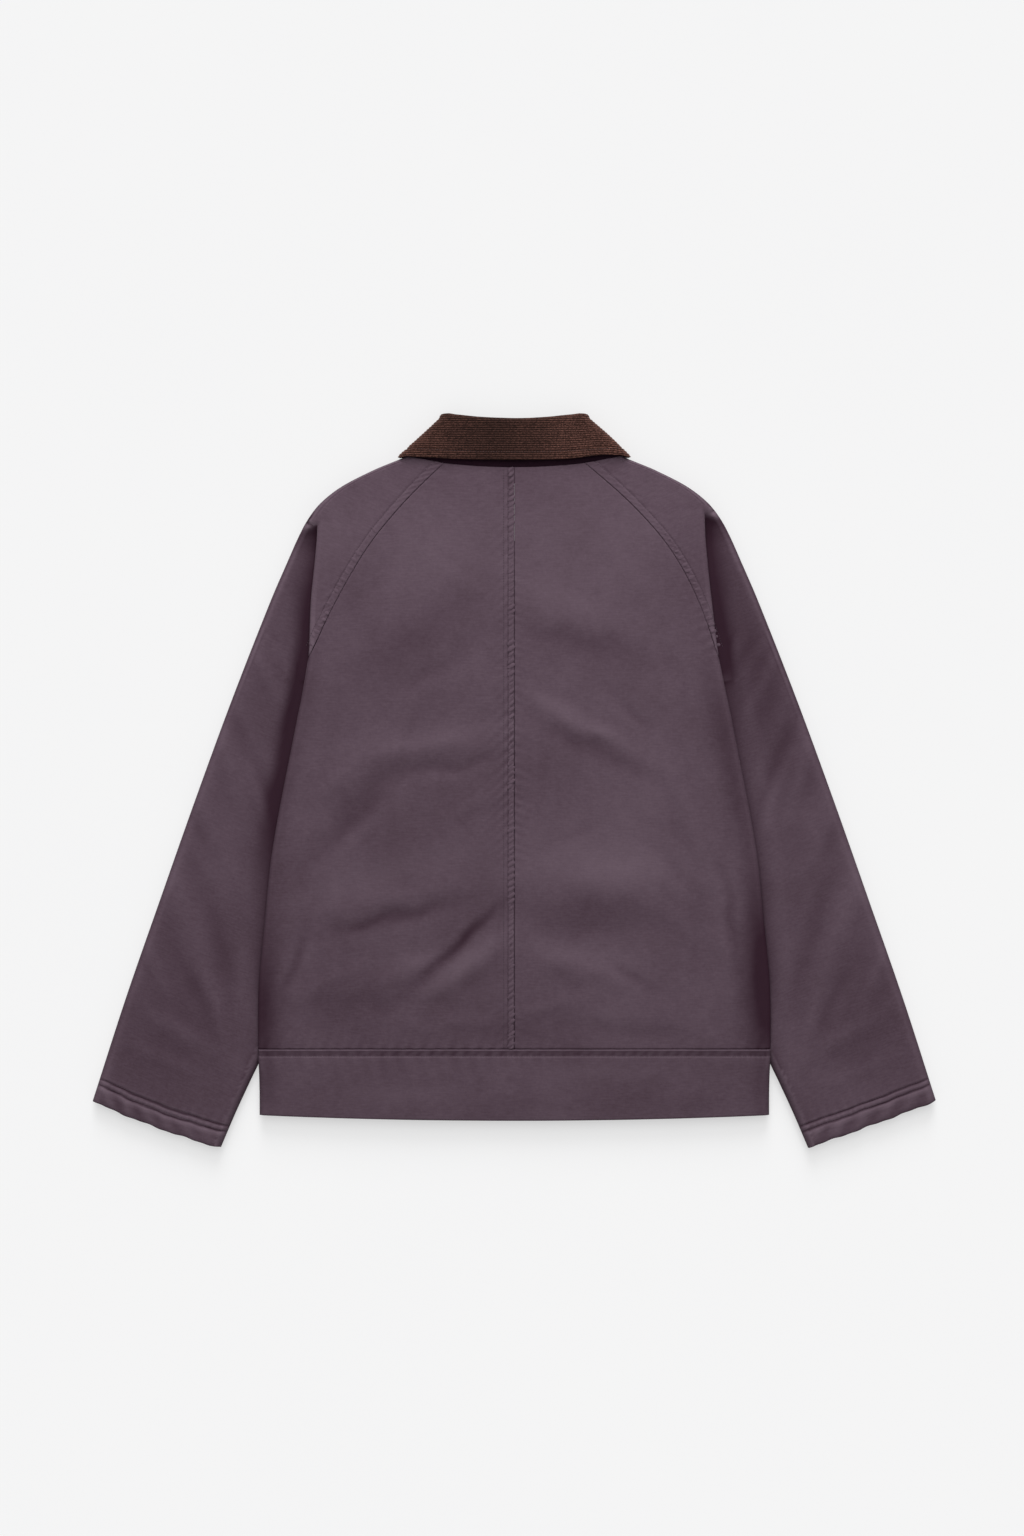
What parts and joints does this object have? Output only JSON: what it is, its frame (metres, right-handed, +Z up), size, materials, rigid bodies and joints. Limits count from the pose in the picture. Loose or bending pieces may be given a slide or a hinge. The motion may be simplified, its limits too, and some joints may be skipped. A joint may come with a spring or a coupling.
{
  "type": "waxed cotton jacket",
  "caption": "Hip-length waxed cotton jacket with raglan sleeves, corduroy collar and stitched hem band, laid flat on its front.",
  "frame": {"origin": "middle of the jacket's outline, on the surface it lies on", "axes": "+X to the wearer's right across the sleeves, +Y from the hem to the collar, +Z up, out of the back"},
  "size_m": [0.8842, 0.7708, 0.0236],
  "materials": {
    "waxed_cotton": "plum waxed cotton, smooth and faintly lustrous",
    "corduroy": "dark brown cotton corduroy, fine wales",
    "undercollar_cotton": "dark plum cotton"
  },
  "bodies": {
    "root": {"back_left": "waxed_cotton", "back_right": "waxed_cotton", "front_left": "waxed_cotton", "front_right": "waxed_cotton", "sleeve_back_left": "waxed_cotton", "sleeve_back_right": "waxed_cotton", "sleeve_front_left": "waxed_cotton", "sleeve_front_right": "waxed_cotton", "hem_band_back": "waxed_cotton", "hem_band_front_left": "waxed_cotton", "hem_band_front_right": "waxed_cotton", "collar": "corduroy", "collar_stand": "undercollar_cotton"}
  },
  "joints": []
}
